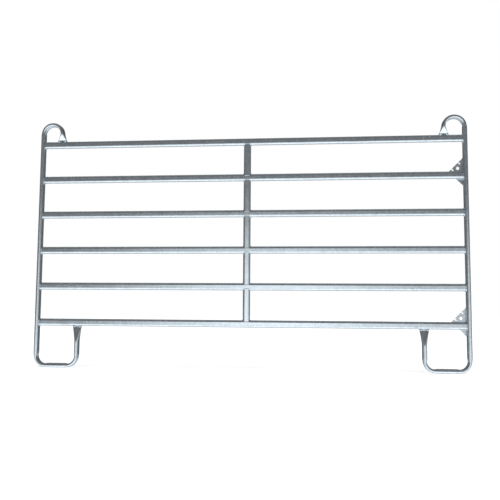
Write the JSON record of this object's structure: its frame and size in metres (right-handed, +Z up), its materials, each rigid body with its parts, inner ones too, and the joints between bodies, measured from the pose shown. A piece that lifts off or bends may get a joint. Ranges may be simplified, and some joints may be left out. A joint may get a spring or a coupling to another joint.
{
  "type": "livestock panel",
  "caption": "Free-standing railed cattle panel of flat-oval tube with looped end frames, foot loops and slotted chain plates.",
  "frame": {"origin": "on the ground, midway along the panel and in its middle plane", "axes": "+X along the panel towards the post with the chain plates, +Z up, front faces -Y"},
  "size_m": [3, 0.05, 1.7498],
  "materials": {
    "galvanised_tube": "hot-dip galvanised, bright with faint spangle",
    "galvanised_plate": "hot-dip galvanised, satin",
    "weld_bead": "galvanised weld, uneven satin"
  },
  "bodies": {
    "root": {"left_end_frame": "galvanised_tube", "right_end_frame": "galvanised_tube", "rail_1": "galvanised_tube", "rail_2": "galvanised_tube", "rail_3": "galvanised_tube", "rail_4": "galvanised_tube", "rail_5": "galvanised_tube", "rail_6": "galvanised_tube", "upright_1": "galvanised_tube", "upright_2": "galvanised_tube", "upright_3": "galvanised_tube", "upright_4": "galvanised_tube", "upright_5": "galvanised_tube", "upper_chain_plate": "galvanised_plate", "lower_chain_plate": "galvanised_plate", "left_rail_welds": "weld_bead", "right_rail_welds": "weld_bead", "upright_welds": "weld_bead", "leg_welds": "weld_bead", "chain_plate_welds": "weld_bead"}
  },
  "joints": []
}
